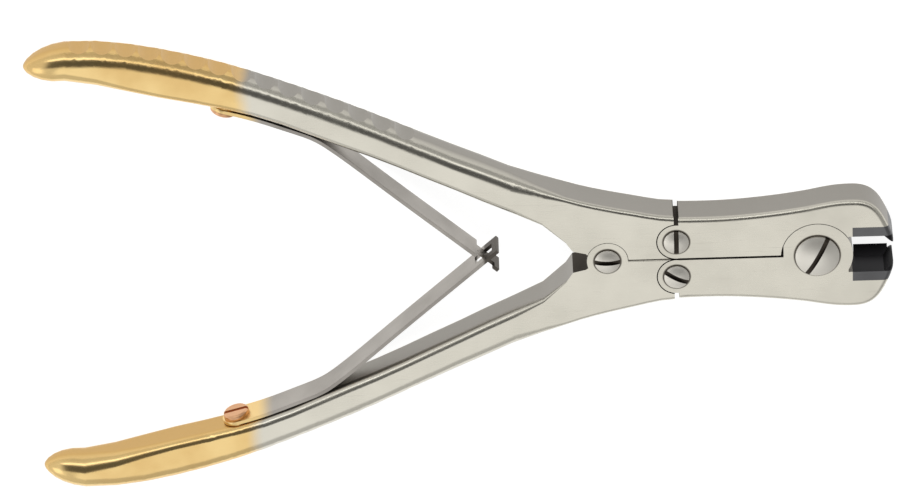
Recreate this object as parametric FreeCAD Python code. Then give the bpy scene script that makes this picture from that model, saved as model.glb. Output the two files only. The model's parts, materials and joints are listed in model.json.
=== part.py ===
"""Double-action surgical wire cutter, in millimetres.

The tool lies flat on z = 0. X runs along the tool towards the jaws, Y across it and Z
through its thickness. The origin is on the jaw pivot's axis. Everything is drawn for the
upper side (y > 0) in the open position, and the lower side is its mirror image, apart from
the half-lap joints, which take turns between the front layer and the back layer.
"""
import math
import os

import FreeCAD
import Part

Vector = FreeCAD.Vector

# Plate thickness and the clearances that everything else follows
thickness = 10.6
lap_gap = 0.04
running_clearance = 0.05
ear_clearance = 0.15
loose_clearance = 0.25
link_ear_clearance = 0.3
face_gap = 0.03
arc_tolerance = 0.04

# Pivot places
jaw_pivot_to_links = 37.1
links_to_handle_pivot = 18.2
link_half_spread = 5.24

# Round ears of the half-lap joints
handle_ear_r = 5.4
link_ear_r = 5.0
jaw_ear_r = 9.4
jaw_ear_flat = 8.9

# Box of the joint, between handles and jaws
edge_round = 1.4
slit_width = 1.2
handle_parting = 0.16
jaw_parting = 0.6
stop_notch_length = 3.4
stop_notch_half = 2.4
stop_notch_flare = 0.8

# Jaws: x and half height of the outline from the nose back to the slit
nose_outline = [(20.05, 3.0), (19.85, 5.2), (19.0, 7.7), (17.75, 10.5), (16.1, 13.2), (13.3, 15.4),
                (9.0, 16.1), (4.2, 15.8), (-2.0, 14.65), (-10.5, 13.45), (-21.0, 12.45), (-29.0, 12.2)]
jaw_rear_half = 12.3

# Cutting inserts
insert_lap = 0.1
insert_border_half = 8.07
insert_relief_half = 5.33
insert_edge_half = 3.0
beak_length = 2.4
side_edge_start = 9.9
side_edge_width = 2.2

# Handle: distance behind the handle pivot, half height of the inner face, thickness, lean in degrees
handle_stations = [(10.7, 5.6, 13.7, 0.0), (17.9, 11.5, 10.0, 20.0), (25.7, 14.9, 10.0, 26.0),
                   (35.7, 19.95, 9.8, 26.0), (46.7, 25.4, 9.5, 27.0), (58.7, 31.4, 9.4, 26.0),
                   (71.7, 37.2, 9.8, 24.0), (85.7, 43.6, 9.5, 22.0), (101.3, 48.7, 10.5, 18.0),
                   (116.7, 52.3, 11.4, 12.0), (132.7, 56.0, 10.6, 5.0), (140.4, 57.0, 9.7, 1.0)]
shoulder_outline = [(7.3, 18.15), (-3.2, 15.4), (-8.5, 14.2), (-13.8, 13.05)]
shoulder_end_half = 12.7
grip_outer_round = 4.4
grip_inner_round = 2.4
parting_round = 0.3
grip_end_round = 4.6
nose_length = 11.0
nose_lean = 7.0
nose_fullness = 0.6
nose_sections = (0.3, 0.55, 0.75, 0.9, 0.97, 0.995)
grip_sections = 18
shoulder_sections = 9
shoulder_share = 0.12
end_share = 0.14
scallop_pitch = 6.0
scallop_r = 4.5
scallop_depth = 1.0
scallop_count = 15
scallop_start = 4.0

# Screws of the joints: head radius, head height, shoulder radius, thread radius
link_screw = (3.3, 1.3, 2.3, 1.7)
handle_screw = (3.35, 1.3, 2.4, 1.8)
jaw_screw = (5.8, 1.9, 3.9, 3.1)
head_bevel = 0.45
dome_share = 0.7
slot_width = 1.1
slot_depth = 0.95

# Leaf springs
leaf_thickness = 1.0
leaf_width = 8.0
leaf_standoff = 0.3
leaf_root_back = 103.0
leaf_bend_back = 75.0
leaf_bend_run = 3.6
leaf_bend_drop = 2.7
leaf_crossing_back = 32.3
leaf_overrun = 4.7
tongue_half = 3.0
tongue_width = 2.8
tongue_head_width = 6.4
leaf_slot_clearance = 0.6
spring_screw_back = 99.0
spring_screw = (3.45, 1.5, 2.0)
spring_screw_length = 5.0
spring_seat_r = 3.6

# Places worked out from the sizes above
link_x = -jaw_pivot_to_links
handle_pivot_x = link_x - links_to_handle_pivot
front_floor = thickness / 2 + lap_gap / 2
back_top = thickness / 2 - lap_gap / 2
past = 1.0
insert_start = jaw_ear_r - insert_lap
jaw_centre = (0.0, 0.0)
handle_centre = (handle_pivot_x, 0.0)
link_centre = (link_x, link_half_spread)


def curve_through(points):
    """Smooth curve through points in the tool's plane."""
    curve = Part.BSplineCurve()
    curve.interpolate([Vector(point[0], point[1], 0) for point in points])
    return curve


def arcs_along(curve):
    """The curve as a chain of tangent arcs, which stay exact when they are rounded."""
    return [arc.toShape() for arc in curve.toBiArcs(arc_tolerance)]


def straight_edges(points):
    """Straight edges from each point to the next."""
    return [Part.makeLine(Vector(ax, ay, 0), Vector(bx, by, 0))
            for (ax, ay), (bx, by) in zip(points, points[1:])]


def plate(edges, low=0.0, high=thickness):
    """Solid plate with the closed outline of the edges."""
    face = Part.Face(Part.Wire(Part.__sortEdges__(edges)))
    solid = face.extrude(Vector(0, 0, high - low))
    solid.translate(Vector(0, 0, low))
    return solid


def round_curved_outline(solid, radius):
    """Round the arcs of a plate's outline on both faces."""
    curved = [edge for edge in solid.Edges
              if isinstance(edge.Curve, Part.Circle) and edge.BoundBox.ZLength < radius / 10]
    return solid.makeFillet(radius, curved)


def post(centre, radius, low, high):
    """Round post parallel to Z."""
    return Part.makeCylinder(radius, high - low, Vector(centre[0], centre[1], low))


def mirrored(solid):
    """The same piece for the other side of the tool."""
    return solid.mirror(Vector(0, 0, 0), Vector(0, 1, 0))


def below(centre):
    """The same pivot on the lower side."""
    return (centre[0], -centre[1])


def front_ear(solid, centre, ear, clearance, bore_r):
    """Add an ear in the front layer, clear the back layer under it and bore it for its screw."""
    relief = post(centre, ear + clearance, -past, front_floor)
    solid = solid.cut(relief).fuse(post(centre, ear, front_floor, thickness))
    return solid.cut(post(centre, bore_r, -past, thickness + past))


def back_ear(solid, centre, ear, clearance, thread_r):
    """Add an ear in the back layer, clear the front layer over it and drill the thread."""
    relief = post(centre, ear + clearance, back_top, thickness + past)
    solid = solid.cut(relief).fuse(post(centre, ear, 0, back_top))
    return solid.cut(post(centre, thread_r, -past, thickness + past))


def flat_sided_ear(low, high):
    """Large jaw ear with its stop flat towards the handles."""
    ear = post(jaw_centre, jaw_ear_r, low, high)
    side = 3 * jaw_ear_r
    keep = Part.makeBox(side, side, high - low, Vector(-jaw_ear_flat, -side / 2, low))
    return ear.common(keep)


def jaw_blank():
    """Upper jaw with its insert still in one piece, outer edges rounded."""
    rear_x = link_x + slit_width / 2
    outline = nose_outline + [(rear_x, jaw_rear_half)]
    tip = nose_outline[0]
    throat = jaw_ear_r - slit_width
    inside = [(rear_x, jaw_rear_half), (rear_x, jaw_parting / 2), (throat, jaw_parting / 2),
              (throat, insert_relief_half), (tip[0] - beak_length, insert_relief_half), tip]
    blank = plate(arcs_along(curve_through(outline)) + straight_edges(inside))
    return round_curved_outline(blank, edge_round)


def insert_pocket():
    """Space of the cutting insert inside the jaw."""
    reach = nose_outline[0][0] + past - insert_start
    return Part.makeBox(reach, insert_border_half, thickness, Vector(insert_start, 0, 0))


def side_edge():
    """Wedge of the side cutting edge, along the insert's back face."""
    corners = [Vector(side_edge_start, insert_relief_half, 0),
               Vector(side_edge_start, insert_edge_half, 0),
               Vector(side_edge_start, insert_relief_half, side_edge_width)]
    face = Part.Face(Part.makePolygon(corners + corners[:1]))
    return face.extrude(Vector(nose_outline[0][0] - beak_length / 2 - side_edge_start, 0, 0))


def cutting_insert():
    """Hard insert with its front beak and its side edge."""
    body = jaw_blank().common(insert_pocket())
    return body.fuse(side_edge()).removeSplitter()


def upper_jaw():
    """Upper jaw: front ear on the upper link, back ear on the jaw pivot."""
    jaw = jaw_blank().cut(insert_pocket())
    jaw = jaw.cut(post(jaw_centre, jaw_ear_r + ear_clearance + lap_gap, back_top, thickness + past))
    jaw = jaw.fuse(mirrored(flat_sided_ear(0, back_top)))
    jaw = jaw.cut(post(jaw_centre, jaw_screw[3], -past, thickness + past))
    jaw = front_ear(jaw, link_centre, link_ear_r, link_ear_clearance,
                    link_screw[2] + loose_clearance)
    return jaw.removeSplitter()


def lower_jaw():
    """Lower jaw: front ears on the lower link and on the jaw pivot."""
    jaw = mirrored(jaw_blank().cut(insert_pocket()))
    jaw = jaw.cut(post(jaw_centre, jaw_ear_r + ear_clearance + lap_gap, -past, front_floor))
    jaw = jaw.fuse(flat_sided_ear(front_floor, thickness))
    jaw = jaw.cut(post(jaw_centre, jaw_screw[2] + running_clearance, -past, thickness + past))
    jaw = front_ear(jaw, below(link_centre), link_ear_r, link_ear_clearance,
                    link_screw[2] + running_clearance)
    return jaw.removeSplitter()


def station_points(station):
    """Inner and outer point of a handle station."""
    back, height, depth, lean = station
    angle = math.radians(lean)
    inner = (handle_pivot_x - back, height)
    outer = (inner[0] + depth * math.sin(angle), inner[1] + depth * math.cos(angle))
    return inner, outer


def inner_curve():
    """Curve along the inner face of the grip."""
    return curve_through([station_points(station)[0] for station in handle_stations])


def outer_curve():
    """Curve along the outer face of the grip."""
    return curve_through([station_points(station)[1] for station in handle_stations])


def point_behind(curve, back):
    """Point, forward tangent and outward normal of a curve, a distance behind the handle pivot."""
    low, high = curve.FirstParameter, curve.LastParameter
    for _ in range(40):
        middle = (low + high) / 2
        if handle_pivot_x - curve.value(middle).x < back:
            low = middle
        else:
            high = middle
    tangent = Vector(*curve.tangent(low)[0])
    tangent = tangent if tangent.x > 0 else tangent.negative()
    return curve.value(low), tangent, Vector(-tangent.y, tangent.x, 0)


def handle_section(inner, outer, outer_round, inner_round):
    """D-shaped section across the handle, flat on the inside and full on the outside."""
    start = Vector(inner.x, inner.y, thickness / 2)
    across = Vector(outer.x, outer.y, thickness / 2) - start
    depth = across.Length
    across.normalize()
    up = Vector(0, 0, 1)
    half = thickness / 2
    edges = []
    loose_end = None
    first_start = None
    for side_u, side_z in ((1, 1), (0, 1), (0, -1), (1, -1)):
        radius = outer_round if side_u else inner_round
        outward = 1 if side_u else -1
        corner = start + across * (depth * side_u) + up * (half * side_z)
        along_side = corner - across * (outward * radius)
        along_end = corner - up * (side_z * radius)
        bulge = radius * (1 - math.sqrt(0.5))
        middle = corner - across * (outward * bulge) - up * (side_z * bulge)
        begin, end = (along_end, along_side) if outward * side_z > 0 else (along_side, along_end)
        if loose_end is None:
            first_start = begin
        else:
            edges.append(Part.makeLine(loose_end, begin))
        if radius > 0:
            edges.append(Part.Arc(begin, middle, end).toShape())
        loose_end = end
    edges.append(Part.makeLine(loose_end, first_start))
    return Part.Wire(edges)


def grip():
    """Lofted bar of the handle with its rounded end."""
    inner_points = inner_curve().discretize(Number=grip_sections)
    outer_points = outer_curve().discretize(Number=grip_sections)
    wires = []
    for number, (inner, outer) in enumerate(zip(inner_points, outer_points)):
        way = number / (grip_sections - 1)
        front_way = min(1.0, way / shoulder_share)
        end_way = max(0.0, 1 - (1 - way) / end_share)
        outer_round = edge_round + front_way * (grip_outer_round - edge_round)
        inner_round = parting_round + front_way * (grip_inner_round - parting_round)
        inner_round += end_way * (grip_end_round - grip_inner_round)
        wires.append(handle_section(inner, outer, outer_round, inner_round))
    return Part.makeLoft(wires + nose_wires(wires[-1]), True, True)


def nose_wires(wire):
    """Sections of the rounded nose: the last section of the grip, shrinking towards the tip."""
    inner, outer = station_points(handle_stations[-1])
    middle = Vector((inner[0] + outer[0]) / 2, (inner[1] + outer[1]) / 2, thickness / 2)
    heading = math.radians(180 + nose_lean - handle_stations[-1][3])
    forward = Vector(math.cos(heading), math.sin(heading), 0)
    wires = []
    for way in nose_sections:
        section = wire.copy()
        section.scale((1 - way ** 2) ** nose_fullness, middle)
        section.translate(forward * (way * nose_length))
        wires.append(section)
    return wires


def scallops():
    """Row of shallow finger scallops across the grip's outer face."""
    curve = outer_curve()
    cutters = []
    first = handle_stations[-1][0] - scallop_start
    for number in range(scallop_count):
        point, tangent, normal = point_behind(curve, first - number * scallop_pitch)
        centre = point + normal * (scallop_r - scallop_depth)
        cutters.append(post((centre.x, centre.y), scallop_r, -past, thickness + past))
    return cutters


def handle_shoulder():
    """Front end of the handle, up to the slit that parts it from the jaw."""
    front_x = link_x - slit_width / 2
    inner, outer = station_points(handle_stations[0])
    outline = [outer] + [(handle_pivot_x - back, height) for back, height in shoulder_outline]
    outline.append((front_x, shoulder_end_half))
    points = curve_through(outline).discretize(Number=shoulder_sections)
    wires = [handle_section(Vector(point.x, handle_parting / 2, 0), point, edge_round, parting_round)
             for point in points]
    return Part.makeLoft(wires, True, True).cut(stop_notch(inner))


def stop_notch(inner):
    """Opening behind the handle pivot, where the handles close towards each other."""
    notch_x = handle_pivot_x - handle_ear_r - slit_width / 4
    points = [(handle_pivot_x - handle_ear_r / 2, 0), (notch_x, stop_notch_half),
              (notch_x - stop_notch_length, stop_notch_half + stop_notch_flare), inner,
              (inner[0] - past, inner[1]), (inner[0] - past, -past), (handle_pivot_x, -past)]
    return plate(straight_edges(points + points[:1]), -past, thickness + past)


def spring_seat():
    """Flat boss under the leaf spring's root."""
    point, tangent, normal = point_behind(inner_curve(), spring_screw_back)
    start = point - normal * leaf_standoff
    start.z = thickness / 2
    return Part.makeCylinder(spring_seat_r, leaf_standoff + past, start, normal)


def handle_blank():
    """Whole upper handle before its ears are cut."""
    handle = handle_shoulder().fuse(grip())
    handle = handle.cut(Part.makeCompound(scallops()))
    handle = handle.fuse(spring_seat()).cut(leaf_band())
    return handle.cut(spring_screw_shank(spring_screw[2]))


def upper_handle():
    """Upper handle: back ears on the handle pivot and the upper link."""
    handle = back_ear(handle_blank(), handle_centre, handle_ear_r, ear_clearance, handle_screw[3])
    return back_ear(handle, link_centre, link_ear_r, link_ear_clearance, link_screw[3])


def lower_handle():
    """Lower handle: front ear on the handle pivot, back ear on the lower link."""
    handle = mirrored(handle_blank())
    handle = front_ear(handle, handle_centre, handle_ear_r, ear_clearance, handle_screw[2] + running_clearance)
    return back_ear(handle, below(link_centre), link_ear_r, link_ear_clearance, link_screw[3])


def leaf_centreline():
    """Middle line of the upper leaf: along the handle, then down across the axis."""
    curve = inner_curve()
    points = []
    for back in (leaf_root_back, spring_screw_back, 0.7 * spring_screw_back + 0.3 * leaf_bend_back,
                 0.3 * spring_screw_back + 0.7 * leaf_bend_back, leaf_bend_back):
        point, tangent, normal = point_behind(curve, back)
        points.append(point - normal * (leaf_standoff + leaf_thickness / 2))
    crossing = Vector(handle_pivot_x - leaf_crossing_back, 0, 0)
    bend = points[-1] + Vector(leaf_bend_run, -leaf_bend_drop, 0)
    arm = crossing - bend
    arm.normalize()
    points += [bend, bend + (crossing - bend) * 0.35, bend + (crossing - bend) * 0.7,
               crossing + arm * leaf_overrun]
    return points, crossing, arm


def leaf_band():
    """Bent strip of the upper leaf at its full width."""
    points, crossing, arm = leaf_centreline()
    middle = curve_through(points)
    sides = []
    for side in (1, -1):
        line = []
        for point in points:
            tangent = Vector(*middle.tangent(middle.parameter(point))[0])
            line.append(point + Vector(-tangent.y, tangent.x, 0) * side * leaf_thickness / 2)
        sides.append(curve_through(line))
    ends = [Part.makeLine(sides[0].StartPoint, sides[1].StartPoint),
            Part.makeLine(sides[0].EndPoint, sides[1].EndPoint)]
    low = (thickness - leaf_width) / 2
    band = plate(arcs_along(sides[0]) + arcs_along(sides[1]) + ends, low, low + leaf_width)
    return band.cut(root_waste())


def root_waste():
    """Corners cut off the leaf's root, so that it ends in a half circle round the screw."""
    start, tangent, normal = spring_screw_frame()
    side = 2 * leaf_width
    block = Part.makeBox(side, side, side, Vector(-side, -side / 2, -side / 2))
    block.rotate(Vector(0, 0, 0), Vector(0, 0, 1), math.degrees(math.atan2(tangent.y, tangent.x)))
    block.translate(start)
    disc_start = start - normal * leaf_width
    return block.cut(Part.makeCylinder(leaf_width / 2, 2 * leaf_width, disc_start, normal))


def box_on_arm(start, end, width, shift=0.0):
    """Box across the leaf, between two distances from the crossing."""
    points, crossing, arm = leaf_centreline()
    depth = 4 * leaf_thickness
    box = Part.makeBox(end - start, depth, width, Vector(start, -depth / 2, thickness / 2 - width / 2 + shift))
    box.rotate(Vector(0, 0, 0), Vector(0, 0, 1), math.degrees(math.atan2(arm.y, arm.x)))
    box.translate(crossing)
    return box


def upper_leaf_spring():
    """Upper leaf, which ends in a tongue with a cross head."""
    leaf = leaf_band()
    waste = (leaf_width - tongue_width) / 2
    for side in (1, -1):
        shift = side * (tongue_width + waste) / 2
        leaf = leaf.cut(box_on_arm(-tongue_half, tongue_half, waste, shift))
        edge = (leaf_width - tongue_head_width) / 2
        shift = side * (tongue_head_width + edge) / 2
        leaf = leaf.cut(box_on_arm(tongue_half, leaf_overrun + past, edge, shift))
    return leaf.cut(spring_screw_shank(spring_screw[2] + loose_clearance)).cut(spring_screw_head())


def lower_leaf_spring():
    """Lower leaf, with the slot that the tongue passes through."""
    leaf = leaf_band()
    slot = box_on_arm(-tongue_half, tongue_half, tongue_width + leaf_slot_clearance)
    leaf = leaf.cut(slot)
    leaf = leaf.cut(spring_screw_shank(spring_screw[2] + loose_clearance)).cut(spring_screw_head())
    return mirrored(leaf)


def spring_screw_frame():
    """Point under the spring screw's head and the direction into the handle."""
    point, tangent, normal = point_behind(inner_curve(), spring_screw_back)
    start = point - normal * (leaf_standoff + leaf_thickness)
    start.z = thickness / 2
    return start, tangent, normal


def spring_screw_shank(radius):
    """Shank of the spring screw, also used as its hole."""
    start, tangent, normal = spring_screw_frame()
    return Part.makeCylinder(radius, leaf_thickness + leaf_standoff + spring_screw_length, start, normal)


def spring_screw_head():
    """Round slotted head of the spring screw."""
    start, tangent, normal = spring_screw_frame()
    head = Part.makeCylinder(spring_screw[0], spring_screw[1], start, normal.negative())
    rim = [edge for edge in head.Edges if (edge.BoundBox.Center - start).Length > spring_screw[1] * 0.9
           and isinstance(edge.Curve, Part.Circle)]
    head = head.makeChamfer(head_bevel, rim)
    slot = Part.makeBox(2 * spring_screw[0] + past, slot_width, slot_depth + past,
                        Vector(-spring_screw[0] - past / 2, -slot_width / 2, -slot_depth))
    turn = FreeCAD.Rotation(tangent, Vector(0, 0, 1), normal.negative(), "ZXY")
    slot.Placement = FreeCAD.Placement(start - normal * spring_screw[1], turn)
    return head.cut(slot)


def upper_spring_screw():
    """Screw that holds the upper leaf."""
    return spring_screw_head().fuse(spring_screw_shank(spring_screw[2])).removeSplitter()


def joint_screw(centre, sizes, slot_angle):
    """Shoulder screw with a domed slotted head on the front face."""
    head_r, head_height, shoulder_r, thread_r = sizes
    top = thickness + face_gap + head_height
    dome_rise = dome_share * head_height
    dome_r = (head_r ** 2 + dome_rise ** 2) / (2 * dome_rise)
    dome = Part.makeSphere(dome_r, Vector(centre[0], centre[1], top - dome_r))
    head = post(centre, head_r, thickness + face_gap, top + past).common(dome)
    slot = Part.makeBox(3 * head_r, slot_width, slot_depth + past,
                        Vector(-1.5 * head_r, -slot_width / 2, top - slot_depth))
    slot.rotate(Vector(0, 0, 0), Vector(0, 0, 1), slot_angle)
    slot.translate(Vector(centre[0], centre[1], 0))
    shoulder = post(centre, shoulder_r, back_top, thickness + face_gap)
    thread = post(centre, thread_r, 0, back_top)
    return head.cut(slot).fuse([shoulder, thread]).removeSplitter()


nodes = {
    "lower_handle": lower_handle(),
    "upper_handle": upper_handle(),
    "lower_jaw": lower_jaw(),
    "upper_jaw": upper_jaw(),
    "lower_cutting_insert": mirrored(cutting_insert()),
    "upper_cutting_insert": cutting_insert(),
    "jaw_pivot_screw": joint_screw(jaw_centre, jaw_screw, 62.0),
    "handle_pivot_screw": joint_screw(handle_centre, handle_screw, 0.0),
    "lower_link_screw": joint_screw(below(link_centre), link_screw, -28.0),
    "upper_link_screw": joint_screw(link_centre, link_screw, 90.0),
    "lower_leaf_spring": lower_leaf_spring(),
    "upper_leaf_spring": upper_leaf_spring(),
    "lower_spring_screw": mirrored(upper_spring_screw()),
    "upper_spring_screw": upper_spring_screw(),
}

os.makedirs("parts", exist_ok=True)
for name, shape in nodes.items():
    solid = shape.Solids[0] if len(shape.Solids) == 1 else shape
    box = solid.BoundBox
    print(name, len(shape.Solids), solid.isValid(), round(solid.Volume, 1),
          [round(value, 2) for value in (box.XMin, box.XMax, box.YMin, box.YMax, box.ZMin, box.ZMax)])
    solid.exportStep("parts/" + name + ".step")
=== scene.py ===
"""Looks of the double-action surgical wire cutter, laid out as a Blender add-on."""
import json
import math
from collections import namedtuple

import bpy
from mathutils import Matrix, Vector

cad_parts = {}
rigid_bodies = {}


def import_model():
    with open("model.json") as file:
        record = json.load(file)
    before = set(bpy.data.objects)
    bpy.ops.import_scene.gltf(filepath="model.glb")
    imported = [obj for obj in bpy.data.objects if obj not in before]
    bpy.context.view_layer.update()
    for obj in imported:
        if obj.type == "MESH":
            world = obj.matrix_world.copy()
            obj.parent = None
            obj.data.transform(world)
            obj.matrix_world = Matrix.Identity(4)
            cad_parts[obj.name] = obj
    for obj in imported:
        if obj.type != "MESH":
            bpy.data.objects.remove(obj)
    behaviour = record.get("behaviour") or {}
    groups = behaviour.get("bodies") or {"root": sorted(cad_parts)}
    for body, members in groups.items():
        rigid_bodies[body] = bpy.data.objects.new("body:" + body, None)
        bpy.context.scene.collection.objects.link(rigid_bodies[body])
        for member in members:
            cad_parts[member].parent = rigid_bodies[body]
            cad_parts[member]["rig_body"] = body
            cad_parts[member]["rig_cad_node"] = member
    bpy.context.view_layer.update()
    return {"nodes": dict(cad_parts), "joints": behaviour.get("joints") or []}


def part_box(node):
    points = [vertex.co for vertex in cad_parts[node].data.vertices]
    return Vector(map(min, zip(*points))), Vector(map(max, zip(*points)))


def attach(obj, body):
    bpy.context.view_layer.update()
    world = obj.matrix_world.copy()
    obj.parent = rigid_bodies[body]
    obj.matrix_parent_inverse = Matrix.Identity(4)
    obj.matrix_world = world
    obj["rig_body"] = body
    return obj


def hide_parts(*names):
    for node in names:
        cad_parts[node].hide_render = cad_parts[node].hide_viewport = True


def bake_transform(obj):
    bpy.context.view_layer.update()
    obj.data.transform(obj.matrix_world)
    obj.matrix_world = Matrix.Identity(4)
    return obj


bl_info = {
    "name": "Surgical wire cutter",
    "version": (1, 0, 0),
    "blender": (4, 5, 0),
    "location": "View3D > Sidebar > Wire cutter",
    "description": "Dresses the packed wire cutter with turned screws and metal finishes",
    "category": "Object",
}

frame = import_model()

MM = 0.001

# Smoothing: the largest angle in degrees between faces that shade as one surface, and the
# weight of large faces in the normals.
SMOOTH_ANGLE = 24.0
FLATNESS = 80
HANDLE_SMOOTH_ANGLE = 30.0
HANDLE_FLATNESS = 55
SCREW_SMOOTH_ANGLE = 30.0
# Least angle in degrees of the edges that are eased on springs and spring screws.
STRIP_EASE_ANGLE = 40.0
# Clean-up of a copied CAD mesh: distance of points that become one, and the largest angle
# in degrees between triangles that become one flat face.
MERGE_DISTANCE = 0.002 * MM
FLAT_ANGLE = 0.1

# Direction of the grain, in degrees from the tool's axis.
GRIP_GRAIN_TURN = 25.0
LEAF_GRAIN_TURN = 38.0
INSERT_GRAIN_TURN = 90.0

# Wear of all metals: size of its clouds, their values between which the roughness rises,
# and length, width and turn in radians of the hairline scratches.
CLOUD_SIZE = 16 * MM
CLOUD_SPREAD = (0.35, 0.68)
HAIR_LENGTH = 14 * MM
HAIR_WIDTH = 0.3 * MM
HAIR_TURN = 0.5
# What tool marks and scratches add to the roughness, depth of a scratch against the marks,
# and depth of the relief.
MARK_ROUGHNESS = 0.10
SCRATCH_ROUGHNESS = 0.12
SCRATCH_DEPTH = 0.6
RELIEF_DEPTH = 0.004 * MM

# Painted shade in a ring round a screw's head, where the head meets the face: where its fade
# starts and ends, from the rim.
SHADE_RING_FADE_START = 0.22 * MM
SHADE_RING_FADE_END = 0.65 * MM
SHADE_RING_STRENGTH = 0.95
# Painted shade in the seams: half the width of the slit, and X place, half length and half width
# of the stop notch.
SLIT_HALF_WIDTH = 0.72 * MM
NOTCH_X = -62.7 * MM
NOTCH_HALF_LENGTH = 2.4 * MM
NOTCH_HALF_WIDTH = 3.2 * MM
SEAM_ROUGHNESS = 0.6

# How far the clouds shift the end of the plating on a grip, and how much further the
# plating runs on the root of a leaf spring.
PLATING_WANDER = 5 * MM
LEAF_PLATING_SHIFT = 3.0 * MM
# Half the width across both inserts of their dark middle, which is partly the hard metal's own
# dark tone and partly painted shade of the pocket between the jaws.
INSERT_SHADE_HALF = 5.33 * MM
# Heat-tinted hook of the leaf springs: X place, half length and fade.
HOOK_X = -84.6 * MM
HOOK_HALF_LENGTH = 2.8 * MM
HOOK_FADE = 0.6 * MM
# Ends of the stretch over which the upper leaf bends, in X and Y from its hinge. The lower
# leaf's are mirrored across the tool's axis.
LEAF_BEND_START = (-6.0 * MM, 2.7 * MM)
LEAF_BEND_END = (22.0 * MM, -18.5 * MM)

# Joint screws: facets of a head, gap under it, flat crown as a part of a dome ring, and
# ring on the thread's end.
HEAD_FACETS = 72
HEAD_GAP = 0.03 * MM
CROWN_SHARE = 0.3
THREAD_RING = 0.35 * MM
# Least Z of the normals of faces that look up.
LOOKS_UP = 0.9
# Rings of the lathe: their spacing and depth, and the worn colour as a part of the plain one.
LATHE_SPACING = 0.7 * MM
LATHE_DEPTH = 0.006 * MM
WORN_SHARE = 0.86
# Painted shade in a driver slot: how far it passes the slot's sides, and half its height.
SLOT_SHADE_MARGIN = 0.04 * MM
SLOT_SHADE_HALF_HEIGHT = 2.0 * MM
# The body that carries each screw, the turn of its slot in degrees, and the radii of its
# shoulder and thread.
JointScrew = namedtuple("JointScrew", "node body slot_turn shoulder thread")
JOINT_SCREWS = (
    JointScrew("jaw_pivot_screw", "upper_jaw", 62.0, 3.9 * MM, 3.1 * MM),
    JointScrew("handle_pivot_screw", "upper_handle", 0.0, 2.4 * MM, 1.8 * MM),
    JointScrew("lower_link_screw", "lower_handle", -28.0, 2.3 * MM, 1.7 * MM),
    JointScrew("upper_link_screw", "upper_handle", 90.0, 2.3 * MM, 1.7 * MM),
)

# View: the point that the camera looks at, and its lens and sensor in millimetres.
VIEW_MIDDLE = Vector((-93.76, 1.5, 5.01)) * MM
LENS = 370.1
SENSOR_WIDTH = 36.0
# Floor: side, how far it lies under the tool, and its glow to the camera and in reflections.
FLOOR_SIZE = 14.0
FLOOR_DROP = 0.2 * MM
FLOOR_GLOW = 0.88
# Dark opening of the dome: axis, middle, half width and fade of each of its three limits,
# as coordinates of a direction of length one, and the part of the light that it keeps.
DOME_OPENING = (("Y", 0.19, 0.35, 0.07), ("X", 0.0, 0.50, 0.15), ("Z", 1.0, 0.5, 0.1))
OPENING_LEVEL = 0.16
# Light of the dome on the left and on the right, and the X up to which it changes.
DOME_LEFT = 0.85
DOME_RIGHT = 0.4
DOME_REACH = 0.7
# Softboxes: way and distance in metres from the middle of the view, sides in metres and
# power in watts.
Softbox = namedtuple("Softbox", "name way distance sides power")
SOFTBOXES = (
    Softbox("key_softbox", (0.0, -0.5, 0.866), 1.3, (0.9, 0.7), 0.82),
    Softbox("left_softbox", (-0.75, -0.35, 0.55), 1.4, (0.7, 0.5), 0.7),
    Softbox("strip_softbox", (0.1, 0.68, 0.70), 1.3, (2.6, 0.3), 2.8),
)

# A metal with the parts of its node tree that the finishes go on with.
Metal = namedtuple("Metal", "material tree shader place clouds")


def linear(hex_colour):
    """Linear colour of an sRGB hex value."""
    parts = [int(hex_colour[start:start + 2], 16) / 255 for start in (0, 2, 4)]
    return [part / 12.92 if part <= 0.04045 else ((part + 0.055) / 1.055) ** 2.4
            for part in parts]


def screw_place(node):
    """Centre, head radius and top of a joint screw, read from its CAD node."""
    low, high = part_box(node)
    return (low + high) / 2, (high.x - low.x) / 2, high.z


class WireCutterSizes(bpy.types.PropertyGroup):
    """Sizes of the details that the scene adds."""

    strip_ease: bpy.props.FloatProperty(
        name="Strip ease",
        description="Width of the round on the edges of springs and spring screws",
        default=0.07 * MM, unit="LENGTH", precision=5)
    plating_end: bpy.props.FloatProperty(
        name="Plating end",
        description="X place at which the gold plating of the grips fades out",
        default=-150.0 * MM, unit="LENGTH", precision=4)
    plating_fade: bpy.props.FloatProperty(
        name="Plating fade", description="Length over which the gold plating fades out",
        default=5.0 * MM, unit="LENGTH", precision=4)
    leaf_cuts: bpy.props.IntProperty(
        name="Leaf cuts", description="Cross cuts along the bending stretch of each leaf spring",
        default=22, min=4)
    slot_width: bpy.props.FloatProperty(
        name="Slot width", description="Width of a joint screw's driver slot",
        default=1.1 * MM, unit="LENGTH", precision=4)
    slot_depth: bpy.props.FloatProperty(
        name="Slot depth", description="Depth of a joint screw's driver slot",
        default=0.95 * MM, unit="LENGTH", precision=4)
    dome_share: bpy.props.FloatProperty(
        name="Dome share",
        description="Part of a joint screw head's height that the dome takes",
        default=0.7, min=0.1, max=0.9)
    dome_rings: bpy.props.IntProperty(
        name="Dome rings", description="Steps from the head's rim to its crown",
        default=9, min=3)
    camera_distance: bpy.props.FloatProperty(
        name="Camera distance", description="Distance from the camera to the middle of the tool",
        default=2.5, unit="LENGTH")
    camera_tilt: bpy.props.FloatProperty(
        name="Camera tilt",
        description="Tilt of the view from the tool's face towards the upper handle",
        default=math.radians(30.0), unit="ROTATION")
    camera_roll: bpy.props.FloatProperty(
        name="Camera roll",
        description="How far the tool's axis rises to the right in the picture",
        default=math.radians(1.64), unit="ROTATION")


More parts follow.
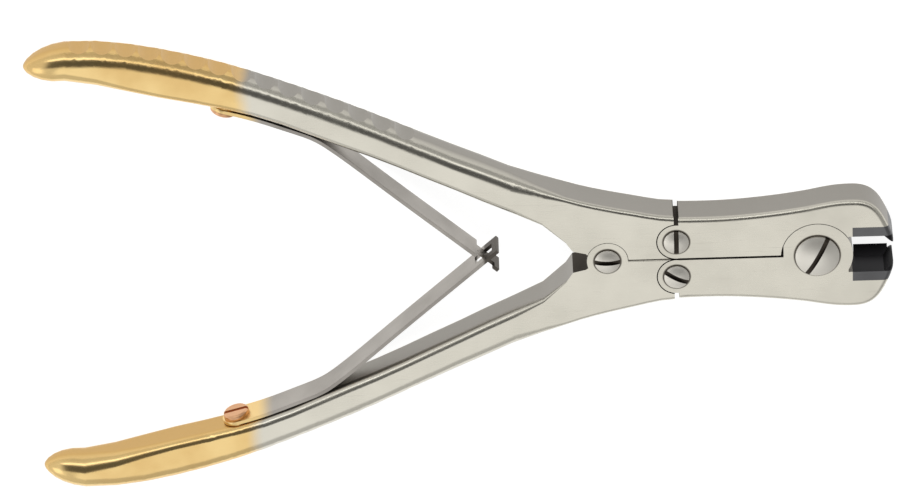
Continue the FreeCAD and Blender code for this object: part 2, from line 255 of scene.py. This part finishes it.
class WireCutterColours(bpy.types.PropertyGroup):
    """Base colours of the finishes."""

    steel: bpy.props.FloatVectorProperty(
        name="Steel", description="Satin stainless steel of handles and jaws",
        subtype="COLOR", default=linear("DAD6C9"))
    steel_worn: bpy.props.FloatVectorProperty(
        name="Handled steel", description="The same steel where it is duller from handling",
        subtype="COLOR", default=linear("D2CEC1"))
    gold: bpy.props.FloatVectorProperty(
        name="Gold plating", description="Gold plating over the grip ends",
        subtype="COLOR", default=linear("EECF90"))
    gold_worn: bpy.props.FloatVectorProperty(
        name="Rubbed plating", description="Gold plating where it is rubbed thin",
        subtype="COLOR", default=linear("E2BD7C"))
    # Painted shade: a browner, darker gold for the upright, scalloped sides, where the grips fall
    # in shade.
    shaded_gold_side: bpy.props.FloatVectorProperty(
        name="Plated sides",
        description="Browner plating on the upright, scalloped sides of the grips",
        subtype="COLOR", default=linear("CBA668"))
    # Painted shade: a darker steel colour for the upright sides of handles and jaws, standing in
    # for the shade they fall in.
    shaded_side_steel: bpy.props.FloatVectorProperty(
        name="Side steel", description="Duller steel on the upright sides of handles and jaws",
        subtype="COLOR", default=linear("9A968F"))
    # Painted shade: the dark colour laid round the screw heads, in the seams and in the driver
    # slots.
    painted_shade: bpy.props.FloatVectorProperty(
        name="Residue", description="Dark film left in seams and round the screw heads",
        subtype="COLOR", default=linear("4A443D"))
    # Partly painted shade: the inserts' dark middle is their own dark tone, darkened further for
    # the shade of the pocket between the jaws.
    insert: bpy.props.FloatVectorProperty(
        name="Insert metal", description="Dark ground hard metal of the cutting inserts",
        subtype="COLOR", default=linear("2E2D2F"))
    insert_bright: bpy.props.FloatVectorProperty(
        name="Insert border", description="Lighter outer strip of the inserts",
        subtype="COLOR", default=linear("6F6F70"))
    insert_line: bpy.props.FloatVectorProperty(
        name="Insert lines", description="Grinding lines on the inserts' outer strip",
        subtype="COLOR", default=linear("5E5E5F"))
    spring: bpy.props.FloatVectorProperty(
        name="Spring steel", description="Rolled and tempered leaf springs",
        subtype="COLOR", default=linear("AFAAA3"))
    spring_dark: bpy.props.FloatVectorProperty(
        name="Rolled streaks", description="Darker rolling streaks of the leaf springs",
        subtype="COLOR", default=linear("8F8A84"))
    hook_film: bpy.props.FloatVectorProperty(
        name="Hook film",
        description="Darker heat-tinted ends where the leaf springs hook together",
        subtype="COLOR", default=linear("5F5A54"))
    screw: bpy.props.FloatVectorProperty(
        name="Screw steel", description="Turned stainless steel of the joint screws",
        subtype="COLOR", default=linear("F2EEE4"))
    copper: bpy.props.FloatVectorProperty(
        name="Copper tone", description="Warm plating of the spring screws",
        subtype="COLOR", default=linear("E0AE84"))
    floor: bpy.props.FloatVectorProperty(
        name="Floor", description="Pale paper floor",
        subtype="COLOR", default=linear("A6A6A5"))


def deselect():
    """Leave edit mode and select nothing."""
    if bpy.context.object and bpy.context.object.mode != "OBJECT":
        bpy.ops.object.mode_set(mode="OBJECT")
    bpy.ops.object.select_all(action="DESELECT")


def make_active(piece):
    """Select one piece alone."""
    deselect()
    piece.select_set(True)
    bpy.context.view_layer.objects.active = piece


def apply_modifier(piece, kind, **settings):
    """Add a modifier with its settings and apply it."""
    make_active(piece)
    modifier = piece.modifiers.new(kind.lower(), kind)
    for name, value in settings.items():
        setattr(modifier, name, value)
    bpy.ops.object.modifier_apply(modifier=modifier.name)


def smooth(piece, angle=SMOOTH_ANGLE, flatness=FLATNESS):
    """Shade smooth up to an angle, with large flat faces kept flat."""
    make_active(piece)
    bpy.ops.object.shade_smooth_by_angle(angle=math.radians(angle))
    apply_modifier(piece, "WEIGHTED_NORMAL", keep_sharp=True, weight=flatness)


def merged_copy(node, name, flatten=True):
    """Copy a CAD node, merge its loose triangles and, where asked, join flat ones."""
    make_active(frame["nodes"][node])
    bpy.ops.object.duplicate()
    piece = bpy.context.object
    piece.name = name
    piece.parent = None
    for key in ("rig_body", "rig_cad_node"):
        if key in piece:
            del piece[key]
    if piece.data.has_custom_normals:
        bpy.ops.mesh.customdata_custom_splitnormals_clear()
    bpy.ops.object.mode_set(mode="EDIT")
    bpy.ops.mesh.select_all(action="SELECT")
    bpy.ops.mesh.remove_doubles(threshold=MERGE_DISTANCE)
    if flatten:
        bpy.ops.mesh.dissolve_limited(angle_limit=math.radians(FLAT_ANGLE))
    bpy.ops.object.mode_set(mode="OBJECT")
    return piece


def ease_edges(piece, width):
    """Round the sharp edges as a deburring wheel leaves them."""
    apply_modifier(piece, "BEVEL", width=width, segments=2, limit_method="ANGLE",
                   angle_limit=math.radians(STRIP_EASE_ANGLE), use_clamp_overlap=False)
    smooth(piece)


def hand_over(piece, node, body, finish):
    """Put the finish on a piece that stands for a CAD node."""
    piece.data.materials.clear()
    piece.data.materials.append(finish)
    if body:
        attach(piece, body)
    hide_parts(node)


def dress(node, finish):
    """Give a CAD node, whose shape is right, its finish."""
    piece = frame["nodes"][node]
    piece.data.materials.clear()
    piece.data.materials.append(finish)


def add_node(tree, kind, inputs=None, **settings):
    """Add a node with its settings, and set or link its inputs."""
    node = tree.nodes.new(kind)
    for name, value in settings.items():
        setattr(node, name, value)
    for name, value in (inputs or {}).items():
        if isinstance(value, bpy.types.NodeSocket):
            tree.links.new(value, node.inputs[name])
        else:
            node.inputs[name].default_value = value
    return node


def colour4(colour):
    """Colour with full alpha."""
    return (*colour, 1.0)


def maths(tree, operation, *values):
    """Result of an operation on numbers or sockets."""
    return add_node(
        tree, "ShaderNodeMath", dict(enumerate(values)), operation=operation).outputs[0]


def ramp(tree, value, start, end, low=0.0, high=1.0, kind="LINEAR"):
    """Go from low to high while the value goes from start to end, and no further."""
    return add_node(tree, "ShaderNodeMapRange", {
        "Value": value, "From Min": start, "From Max": end, "To Min": low, "To Max": high},
        interpolation_type=kind).outputs[0]


def mix_colours(tree, share, first, second):
    """Colour between two colours."""
    return add_node(tree, "ShaderNodeMix", {0: share, 6: first, 7: second},
                    data_type="RGBA").outputs[2]


def mix_numbers(tree, share, first, second):
    """Number between two numbers."""
    return add_node(tree, "ShaderNodeMix", {0: share, 2: first, 3: second}).outputs[0]


def coordinate(tree, place, axis):
    """One coordinate of a place or a direction."""
    return add_node(tree, "ShaderNodeSeparateXYZ", {0: place}).outputs[axis]


def both(tree, first, second):
    """Product of two masks."""
    return maths(tree, "MULTIPLY", first, second)


def upright(tree, low=0.35, high=0.65):
    """High on faces that stand upright, low on faces that look up or down."""
    normal = add_node(tree, "ShaderNodeNewGeometry").outputs["Normal"]
    level = maths(tree, "ABSOLUTE", coordinate(tree, normal, "Z"))
    return ramp(tree, level, low, high, 1.0, 0.0)


def near_place(tree, place, axis, middle, half, fade=0.08 * MM):
    """High where a coordinate lies within half of a middle value, with a fade outside."""
    away = maths(tree, "SUBTRACT", coordinate(tree, place, axis), middle)
    away = maths(tree, "ABSOLUTE", away)
    return ramp(tree, away, half, half + fade, 1.0, 0.0)


def streaks(tree, place, turn, length, width, **texture):
    """Noise drawn out into streaks of a length and a width."""
    stretched = add_node(tree, "ShaderNodeMapping", {
        "Vector": place, "Rotation": (0.0, 0.0, turn),
        "Scale": (1 / length, 1 / width, 1 / width)}).outputs[0]
    return add_node(
        tree, "ShaderNodeTexNoise", {"Vector": stretched, "Scale": 1.0, **texture}).outputs[0]


def metal_base(name, plain, worn, roughness, grain, turn=0.0, rings=(), painted_shade=None,
               relief=0.5):
    """Worked metal: fine grain along one direction, cloudy wear, hairline scratches.

    plain and worn are colours, roughness its lowest and highest value, grain the width and
    length of the tool marks in metres, and rings the places of painted shade round screw
    heads, each a centre and a radius.
    """
    material = bpy.data.materials.new(name)
    material.use_nodes = True
    tree = material.node_tree
    tree.nodes.clear()
    place = add_node(tree, "ShaderNodeTexCoord").outputs["Object"]
    width, length = grain
    marks = streaks(tree, place, -turn, length, width, Detail=3.0, Roughness=0.6)
    clouds = add_node(tree, "ShaderNodeTexNoise", {
        "Vector": place, "Scale": 1 / CLOUD_SIZE, "Detail": 3.0, "Roughness": 0.5}).outputs[0]
    hairlines = streaks(tree, place, HAIR_TURN - turn, HAIR_LENGTH, HAIR_WIDTH,
                        Detail=1.0, Distortion=0.3)
    scratches = ramp(tree, hairlines, start=0.70, end=0.80)
    wear = ramp(tree, clouds, start=0.30, end=0.80, high=0.7)
    colour = mix_colours(tree, wear, colour4(plain), colour4(worn))
    rough = ramp(tree, clouds, *CLOUD_SPREAD, *roughness)
    rough = maths(tree, "MULTIPLY_ADD", marks, MARK_ROUGHNESS, rough)
    rough = maths(tree, "MULTIPLY_ADD", scratches, SCRATCH_ROUGHNESS, rough)
    for centre, radius in rings:
        flat = add_node(tree, "ShaderNodeVectorMath", {0: place, 1: (1.0, 1.0, 0.0)},
                        operation="MULTIPLY").outputs[0]
        away = add_node(tree, "ShaderNodeVectorMath", {
            0: flat, 1: (centre.x, centre.y, 0.0)}, operation="DISTANCE").outputs["Value"]
        # Painted shade: a dark ring round the screw head, where it meets the face.
        film = ramp(tree, away, radius + SHADE_RING_FADE_START, radius + SHADE_RING_FADE_END,
                    SHADE_RING_STRENGTH, 0.0, kind="SMOOTHSTEP")
        colour = mix_colours(tree, film, colour, colour4(painted_shade))
    height = maths(tree, "MULTIPLY_ADD", scratches, -SCRATCH_DEPTH, marks)
    bump = add_node(tree, "ShaderNodeBump", {
        "Height": height, "Strength": relief, "Distance": RELIEF_DEPTH}).outputs[0]
    shader = add_node(tree, "ShaderNodeBsdfPrincipled", {
        "Base Color": colour, "Metallic": 1.0, "Roughness": rough, "Normal": bump})
    add_node(tree, "ShaderNodeOutputMaterial", {"Surface": shader.outputs[0]})
    return Metal(material, tree, shader, place, clouds)


def cover(metal, amount, colour, roughness):
    """Mix a second colour and roughness into a metal where amount is high."""
    base = metal.shader.inputs["Base Color"]
    rough = metal.shader.inputs["Roughness"]
    first_colour = base.links[0].from_socket
    first_rough = rough.links[0].from_socket
    mixed = mix_colours(metal.tree, amount, first_colour, colour)
    mixed_rough = mix_numbers(metal.tree, amount, first_rough, roughness)
    metal.tree.links.new(mixed, base)
    metal.tree.links.new(mixed_rough, rough)


def seam_shade(metal):
    """Painted shade in the slit between handle and jaw, and on the walls of the stop notch."""
    tree, place = metal.tree, metal.place
    painted_shade = colour4(bpy.context.scene.wire_cutter_colours.painted_shade)
    slit_x = screw_place("upper_link_screw")[0].x
    walls = upright(tree)
    # Painted shade on the slit's walls and in the stop notch.
    slit = both(tree, walls, near_place(tree, place, "X", slit_x, SLIT_HALF_WIDTH))
    cover(metal, slit, painted_shade, SEAM_ROUGHNESS)
    notch = both(tree, walls, near_place(tree, place, "X", NOTCH_X, NOTCH_HALF_LENGTH))
    notch = both(tree, notch, near_place(tree, place, "Y", 0.0, NOTCH_HALF_WIDTH))
    cover(metal, notch, painted_shade, SEAM_ROUGHNESS)


def plating(tree, x, end):
    """High where the gold plating lies, up to its soft end."""
    half_fade = bpy.context.scene.wire_cutter_sizes.plating_fade / 2
    return ramp(tree, x, end + half_fade, end - half_fade, kind="SMOOTHSTEP")


def plated_handle_steel(name, turn, rings):
    """Satin stainless steel whose grip end is gold plated.

    The plating ends in a soft edge, so the eye sees two finishes of one forged bar.
    """
    colours = bpy.context.scene.wire_cutter_colours
    metal = metal_base(
        name, colours.steel, colours.steel_worn, roughness=(0.16, 0.24),
        grain=(0.22 * MM, 5 * MM), turn=turn, rings=rings, painted_shade=colours.painted_shade)
    tree, clouds = metal.tree, metal.clouds
    sides = {"low": 0.15, "high": 0.75}
    # Painted shade: upright faces get a darker steel colour; their roughness is raised as well.
    cover(metal, upright(tree, **sides), colour4(colours.shaded_side_steel), roughness=0.36)
    x = coordinate(tree, metal.place, "X")
    edge = maths(tree, "MULTIPLY_ADD", clouds, PLATING_WANDER, x)
    plating_end = bpy.context.scene.wire_cutter_sizes.plating_end
    plated = plating(tree, edge, plating_end + PLATING_WANDER / 2)
    rubbed = ramp(tree, clouds, start=0.36, end=0.66)
    gold = mix_colours(tree, rubbed, colour4(colours.gold), colour4(colours.gold_worn))
    gold_rough = ramp(tree, clouds, *CLOUD_SPREAD, low=0.18, high=0.27)
    cover(metal, plated, gold, gold_rough)
    # Painted shade: upright plated faces get a browner, darker gold.
    shaded_gold_side = both(tree, upright(tree, **sides), plated)
    cover(metal, shaded_gold_side, colour4(colours.shaded_gold_side), roughness=0.34)
    seam_shade(metal)
    return metal.material


def satin_jaw_steel(name, rings):
    """Satin stainless steel of the jaws: an even, slightly cloudy sheen with hairlines."""
    colours = bpy.context.scene.wire_cutter_colours
    metal = metal_base(
        name, colours.steel, colours.steel_worn, roughness=(0.20, 0.27),
        grain=(0.2 * MM, 3 * MM), rings=rings, painted_shade=colours.painted_shade)
    # Painted shade: upright faces get a darker steel colour; their roughness is raised as well.
    sides = upright(metal.tree, low=0.2, high=0.6)
    cover(metal, sides, colour4(colours.shaded_side_steel), roughness=0.42)
    seam_shade(metal)
    return metal.material


def ground_hard_metal():
    """Ground hard metal with fine straight lines of the grinding wheel: grey at the border, near
    black over the middle, partly from its own dark tone and partly painted shade.
    """
    colours = bpy.context.scene.wire_cutter_colours
    metal = metal_base(
        "ground_hard_metal", colours.insert_bright, colours.insert_line,
        roughness=(0.30, 0.40), grain=(0.12 * MM, 4 * MM),
        turn=math.radians(INSERT_GRAIN_TURN), relief=0.7)
    # Partly painted shade: the middle of the inserts is made near black, for their own dark tone
    # and for the shade of the pocket.
    dark = near_place(metal.tree, metal.place, "Y", 0.0, INSERT_SHADE_HALF)
    cover(metal, dark, colour4(colours.insert), roughness=0.42)
    return metal.material


def rolled_spring_steel(name, turn):
    """Rolled, tempered strip: darker than the handles, streaked, with a plated root."""
    colours = bpy.context.scene.wire_cutter_colours
    metal = metal_base(
        name, colours.spring, colours.spring_dark, roughness=(0.28, 0.38),
        grain=(0.35 * MM, 16 * MM), turn=turn, relief=0.6)
    tree, place = metal.tree, metal.place
    plating_end = bpy.context.scene.wire_cutter_sizes.plating_end
    root = plating(tree, coordinate(tree, place, "X"), plating_end + LEAF_PLATING_SHIFT)
    cover(metal, root, colour4(colours.gold), roughness=0.32)
    hooked = near_place(tree, place, "X", HOOK_X, HOOK_HALF_LENGTH, HOOK_FADE)
    cover(metal, hooked, colour4(colours.hook_film), roughness=0.45)
    return metal.material


def turned_metal(name, colour, centre, roughness, slot_turn=None):
    """Metal turned in a lathe: fine rings round the screw's axis catch the light.

    With a slot_turn in degrees, the driver slot across the head holds painted shade.
    """
    scene = bpy.context.scene
    metal = metal_base(
        name, colour, [WORN_SHARE * part for part in colour], roughness,
        grain=(0.2 * MM, 0.4 * MM))
    tree, place = metal.tree, metal.place
    centred = add_node(tree, "ShaderNodeMapping", {
        "Vector": place, "Location": (-centre.x, -centre.y, 0.0)}).outputs[0]
    rings = add_node(tree, "ShaderNodeTexWave", {
        "Vector": centred, "Scale": 1 / LATHE_SPACING, "Distortion": 1.2, "Detail": 1.0},
        wave_type="RINGS", rings_direction="Z").outputs["Fac"]
    bump = add_node(tree, "ShaderNodeBump", {
        "Height": rings, "Strength": 0.5, "Distance": LATHE_DEPTH}).outputs[0]
    tree.links.new(bump, metal.shader.inputs["Normal"])
    if slot_turn is not None:
        # Painted shade in the driver slot.
        lined_up = add_node(tree, "ShaderNodeVectorRotate", {
            "Vector": place, "Center": (centre.x, centre.y, 0.0),
            "Angle": -math.radians(slot_turn)}, rotation_type="Z_AXIS").outputs[0]
        half_width = scene.wire_cutter_sizes.slot_width / 2 + SLOT_SHADE_MARGIN
        slot = near_place(tree, lined_up, "Y", centre.y, half_width)
        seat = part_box("upper_jaw")[1].z
        above = near_place(
            tree, place, "Z", seat + SLOT_SHADE_HALF_HEIGHT, SLOT_SHADE_HALF_HEIGHT)
        painted_shade = colour4(scene.wire_cutter_colours.painted_shade)
        cover(metal, both(tree, slot, above), painted_shade, roughness=0.55)
    return metal.material


def faces_where(piece, test):
    """In edit mode, select the faces that pass a test and no others."""
    bpy.ops.object.mode_set(mode="OBJECT")
    for face in piece.data.polygons:
        face.select = test(face)
    for edge in piece.data.edges:
        edge.select = False
    for vertex in piece.data.vertices:
        vertex.select = False
    for face in piece.data.polygons:
        if face.select:
            for index in face.vertices:
                piece.data.vertices[index].select = True
    bpy.ops.object.mode_set(mode="EDIT")
    bpy.ops.mesh.select_mode(type="FACE")


def turned_screw(screw, lap_height):
    """Shoulder screw: domed head with a driver slot, shoulder, and flush thread end."""
    sizes = bpy.context.scene.wire_cutter_sizes
    centre, radius, top = screw_place(screw.node)
    seat = lap_height * 2 + HEAD_GAP
    rise = sizes.dome_share * (top - seat)
    dome_radius = (radius ** 2 + rise ** 2) / (2 * rise)
    rim = top - rise
    deselect()
    bpy.ops.mesh.primitive_cylinder_add(
        vertices=HEAD_FACETS, radius=radius, depth=rim - seat,
        location=(centre.x, centre.y, (rim + seat) / 2))
    piece = bpy.context.object
    piece.name = "turned_" + screw.node
    bpy.ops.object.transform_apply(location=True)
    faces_where(piece, lambda face: face.normal.z > LOOKS_UP)
    steps = sizes.dome_rings + CROWN_SHARE
    for ring in range(sizes.dome_rings):
        far, near = (radius * (1 - step / steps) for step in (ring, ring + 1))
        lift = (math.sqrt(dome_radius ** 2 - near ** 2)
                - math.sqrt(dome_radius ** 2 - far ** 2))
        bpy.ops.mesh.inset(thickness=far - near)
        bpy.ops.transform.translate(value=(0, 0, lift))
    faces_where(piece, lambda face: face.normal.z < -LOOKS_UP)
    bpy.ops.mesh.inset(thickness=radius - screw.shoulder)
    bpy.ops.mesh.extrude_region_move(
        TRANSFORM_OT_translate={"value": (0, 0, lap_height - seat)})
    bpy.ops.mesh.inset(thickness=screw.shoulder - screw.thread)
    bpy.ops.mesh.extrude_region_move(TRANSFORM_OT_translate={"value": (0, 0, -lap_height)})
    bpy.ops.mesh.inset(thickness=THREAD_RING)
    bpy.ops.object.mode_set(mode="OBJECT")
    cutter = slot_cutter(centre, radius, top, screw.slot_turn)
    apply_modifier(piece, "BOOLEAN", operation="DIFFERENCE", solver="EXACT", object=cutter)
    bpy.data.objects.remove(cutter)
    smooth(piece, SCREW_SMOOTH_ANGLE)
    return piece


def slot_cutter(centre, radius, top, turn):
    """Bar that cuts the driver slot."""
    sizes = bpy.context.scene.wire_cutter_sizes
    deselect()
    bpy.ops.mesh.primitive_cube_add(size=1.0, location=(centre.x, centre.y, top))
    cutter = bpy.context.object
    cutter.scale = (3 * radius, sizes.slot_width, 2 * sizes.slot_depth)
    cutter.rotation_euler = (0.0, 0.0, math.radians(turn))
    bpy.ops.object.transform_apply(location=True, rotation=True, scale=True)
    return cutter


class WIRECUTTER_OT_handles(bpy.types.Operator):
    """Give both handles satin steel with gold plated grips"""

    bl_idname = "wirecutter.handles"
    bl_label = "Handles"

    def execute(self, context):
        for side, way in (("upper", -1), ("lower", 1)):
            node = side + "_handle"
            piece = merged_copy(node, "forged_" + node, flatten=False)
            smooth(piece, HANDLE_SMOOTH_ANGLE, HANDLE_FLATNESS)
            # Places of the painted shade rings round screw heads.
            rings = [screw_place("handle_pivot_screw")[:2]] if side == "lower" else []
            finish = plated_handle_steel(
                "satin_steel_gold_plated_" + node, math.radians(GRIP_GRAIN_TURN) * way, rings)
            hand_over(piece, node, node, finish)
        return {"FINISHED"}


class WIRECUTTER_OT_jaws(bpy.types.Operator):
    """Give both jaws satin steel with painted shade round the screws"""

    bl_idname = "wirecutter.jaws"
    bl_label = "Jaws"

    def execute(self, context):
        for side in ("upper", "lower"):
            node = side + "_jaw"
            # Places of the painted shade rings round screw heads.
            rings = [screw_place(side + "_link_screw")[:2]]
            if side == "lower":
                rings.append(screw_place("jaw_pivot_screw")[:2])
            dress(node, satin_jaw_steel("satin_steel_" + node, rings))
        return {"FINISHED"}


class WIRECUTTER_OT_inserts(bpy.types.Operator):
    """Give the cutting inserts crisp edges and dark ground hard metal, its middle partly darkened
    by painted shade
    """

    bl_idname = "wirecutter.inserts"
    bl_label = "Cutting inserts"

    def execute(self, context):
        finish = ground_hard_metal()
        for side in ("upper", "lower"):
            node = side + "_cutting_insert"
            piece = merged_copy(node, "ground_" + node)
            smooth(piece)
            hand_over(piece, node, side + "_jaw", finish)
        return {"FINISHED"}


class WIRECUTTER_OT_joint_screws(bpy.types.Operator):
    """Turn the four shoulder screws of the joints"""

    bl_idname = "wirecutter.joint_screws"
    bl_label = "Joint screws"

    def execute(self, context):
        colours = context.scene.wire_cutter_colours
        lap_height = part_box("upper_jaw")[1].z / 2
        for screw in JOINT_SCREWS:
            piece = turned_screw(screw, lap_height)
            if not piece.data.polygons:
                raise RuntimeError(screw.node + " came out empty")
            finish = turned_metal(
                "turned_steel_" + screw.node, colours.screw, screw_place(screw.node)[0],
                (0.36, 0.44), screw.slot_turn)
            hand_over(piece, screw.node, screw.body, finish)
        return {"FINISHED"}


class WIRECUTTER_OT_leaf_springs(bpy.types.Operator):
    """Give both leaf springs rolled spring steel, with cross cuts along the stretch where they
    leave the handle
    """

    bl_idname = "wirecutter.leaf_springs"
    bl_label = "Leaf springs"

    def execute(self, context):
        sizes = context.scene.wire_cutter_sizes
        for side, way in (("upper", 1), ("lower", -1)):
            node = side + "_leaf_spring"
            piece = merged_copy(node, "rolled_" + node)
            bend = next(
                joint for joint in frame["joints"] if joint["name"] == side + "_leaf_bend")
            hinge = Vector(bend["pos_m"])
            start, end = (
                hinge + Vector((x, y * way, 0.0)) for x, y in (LEAF_BEND_START, LEAF_BEND_END))
            bpy.ops.object.mode_set(mode="EDIT")
            for number in range(sizes.leaf_cuts + 1):
                bpy.ops.mesh.select_all(action="SELECT")
                place = start.lerp(end, number / sizes.leaf_cuts)
                bpy.ops.mesh.bisect(plane_co=place, plane_no=(end - start).normalized())
            bpy.ops.object.mode_set(mode="OBJECT")
            ease_edges(piece, sizes.strip_ease)
            finish = rolled_spring_steel(
                "rolled_spring_steel_" + side, -math.radians(LEAF_GRAIN_TURN) * way)
            hand_over(piece, node, None, finish)
            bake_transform(piece)
        return {"FINISHED"}


class WIRECUTTER_OT_spring_screws(bpy.types.Operator):
    """Give the two spring screws eased edges and a copper-toned plating"""

    bl_idname = "wirecutter.spring_screws"
    bl_label = "Spring screws"

    def execute(self, context):
        sizes = context.scene.wire_cutter_sizes
        colours = context.scene.wire_cutter_colours
        for side in ("upper", "lower"):
            node = side + "_spring_screw"
            piece = merged_copy(node, "plated_" + node)
            ease_edges(piece, sizes.strip_ease)
            low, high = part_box(node)
            finish = turned_metal(
                "copper_toned_plating_" + side, colours.copper, (low + high) / 2, (0.22, 0.34))
            hand_over(piece, node, side + "_handle", finish)
        return {"FINISHED"}


class WIRECUTTER_OT_studio(bpy.types.Operator):
    """Set up the pale floor, the soft lights and the camera at the photograph's angle"""

    bl_idname = "wirecutter.studio"
    bl_label = "Studio"

    def execute(self, context):
        context.scene.view_settings.view_transform = "Standard"
        self.add_camera(context)
        self.add_floor(context)
        self.add_world(context)
        for softbox in SOFTBOXES:
            self.add_softbox(softbox)
        return {"FINISHED"}

    def add_camera(self, context):
        """Camera of a long lens, tilted towards the upper handle and rolled a little."""
        sizes = context.scene.wire_cutter_sizes
        tilt = sizes.camera_tilt
        roll = sizes.camera_roll
        back = Vector((0.0, math.sin(tilt), math.cos(tilt)))
        level_up = Vector((0.0, math.cos(tilt), -math.sin(tilt)))
        along = Vector((1.0, 0.0, 0.0))
        right = along * math.cos(roll) - level_up * math.sin(roll)
        up = along * math.sin(roll) + level_up * math.cos(roll)
        deselect()
        bpy.ops.object.camera_add()
        camera = bpy.context.object
        camera.name = "photo_camera"
        camera.data.lens = LENS
        camera.data.sensor_width = SENSOR_WIDTH
        camera.data.clip_start = 0.05
        camera.data.clip_end = 50.0
        turn = Matrix((right, up, back)).transposed().to_4x4()
        place = VIEW_MIDDLE + back * sizes.camera_distance
        camera.matrix_world = Matrix.Translation(place) @ turn
        context.scene.camera = camera

    def add_floor(self, context):
        """Pale floor that stays white to the camera and in reflections, and keeps the shadow."""
        colours = context.scene.wire_cutter_colours
        deselect()
        bpy.ops.mesh.primitive_plane_add(size=FLOOR_SIZE, location=(0.0, 0.0, -FLOOR_DROP))
        floor = bpy.context.object
        floor.name = "floor"
        material = bpy.data.materials.new("pale_paper_floor")
        material.use_nodes = True
        tree = material.node_tree
        tree.nodes.clear()
        rays = add_node(tree, "ShaderNodeLightPath").outputs
        seen = maths(tree, "MAXIMUM", rays["Is Camera Ray"], rays["Is Glossy Ray"])
        seen = maths(tree, "MAXIMUM", seen, rays["Is Transmission Ray"])
        glow = maths(tree, "MULTIPLY", seen, FLOOR_GLOW)
        shader = add_node(tree, "ShaderNodeBsdfPrincipled", {
            "Base Color": colour4(colours.floor), "Roughness": 0.9, "Specular IOR Level": 0.0,
            "Emission Color": (1.0, 1.0, 1.0, 1.0), "Emission Strength": glow})
        add_node(tree, "ShaderNodeOutputMaterial", {"Surface": shader.outputs[0]})
        floor.data.materials.append(material)

    def add_world(self, context):
        """Pale dome, brighter from the left, with a dark opening above the tool.

        The opening leans towards the upper handle.
        """
        world = bpy.data.worlds.new("pale_dome")
        context.scene.world = world
        world.use_nodes = True
        tree = world.node_tree
        tree.nodes.clear()
        way = add_node(tree, "ShaderNodeTexCoord").outputs["Generated"]
        across, lengthwise, overhead = (near_place(tree, way, *span) for span in DOME_OPENING)
        opening = both(tree, both(tree, across, lengthwise), overhead)
        opening = ramp(tree, opening, 0.0, 1.0, 1.0, OPENING_LEVEL)
        side = ramp(
            tree, coordinate(tree, way, "X"), -DOME_REACH, DOME_REACH, DOME_LEFT, DOME_RIGHT)
        shader = add_node(tree, "ShaderNodeBackground", {
            "Color": (1.0, 1.0, 1.0, 1.0), "Strength": both(tree, opening, side)})
        add_node(tree, "ShaderNodeOutputWorld", {"Surface": shader.outputs[0]})

    def add_softbox(self, softbox):
        """Large soft area light that looks at the tool."""
        deselect()
        way = Vector(softbox.way).normalized()
        bpy.ops.object.light_add(type="AREA", location=VIEW_MIDDLE + way * softbox.distance)
        lamp = bpy.context.object
        lamp.name = softbox.name
        lamp.data.shape = "RECTANGLE"
        lamp.data.size, lamp.data.size_y = softbox.sides
        lamp.data.energy = softbox.power
        lamp.rotation_euler = way.to_track_quat("Z", "Y").to_euler()


class WIRECUTTER_PT_panel(bpy.types.Panel):
    """Lists the operators and the values that they use"""

    bl_label = "Wire cutter"
    bl_idname = "WIRECUTTER_PT_panel"
    bl_space_type = "VIEW_3D"
    bl_region_type = "UI"
    bl_category = "Wire cutter"

    def draw(self, context):
        for operator in operators:
            self.layout.operator(operator.bl_idname)
        for group in (context.scene.wire_cutter_sizes, context.scene.wire_cutter_colours):
            for name in group.__annotations__:
                self.layout.prop(group, name)


operators = (
    WIRECUTTER_OT_handles,
    WIRECUTTER_OT_jaws,
    WIRECUTTER_OT_inserts,
    WIRECUTTER_OT_joint_screws,
    WIRECUTTER_OT_leaf_springs,
    WIRECUTTER_OT_spring_screws,
    WIRECUTTER_OT_studio,
)
classes = (WireCutterSizes, WireCutterColours, *operators, WIRECUTTER_PT_panel)


def register():
    """Register the classes and give the scene its sizes and colours."""
    for cls in classes:
        bpy.utils.register_class(cls)
    bpy.types.Scene.wire_cutter_sizes = bpy.props.PointerProperty(type=WireCutterSizes)
    bpy.types.Scene.wire_cutter_colours = bpy.props.PointerProperty(type=WireCutterColours)


def unregister():
    """Take the classes and the scene's values away again."""
    del bpy.types.Scene.wire_cutter_colours
    del bpy.types.Scene.wire_cutter_sizes
    for cls in reversed(classes):
        bpy.utils.unregister_class(cls)


def main():
    """Make the whole scene."""
    register()
    bpy.ops.wirecutter.handles()
    bpy.ops.wirecutter.jaws()
    bpy.ops.wirecutter.inserts()
    bpy.ops.wirecutter.joint_screws()
    bpy.ops.wirecutter.leaf_springs()
    bpy.ops.wirecutter.spring_screws()
    bpy.ops.wirecutter.studio()
    deselect()


if __name__ == "__main__":
    main()
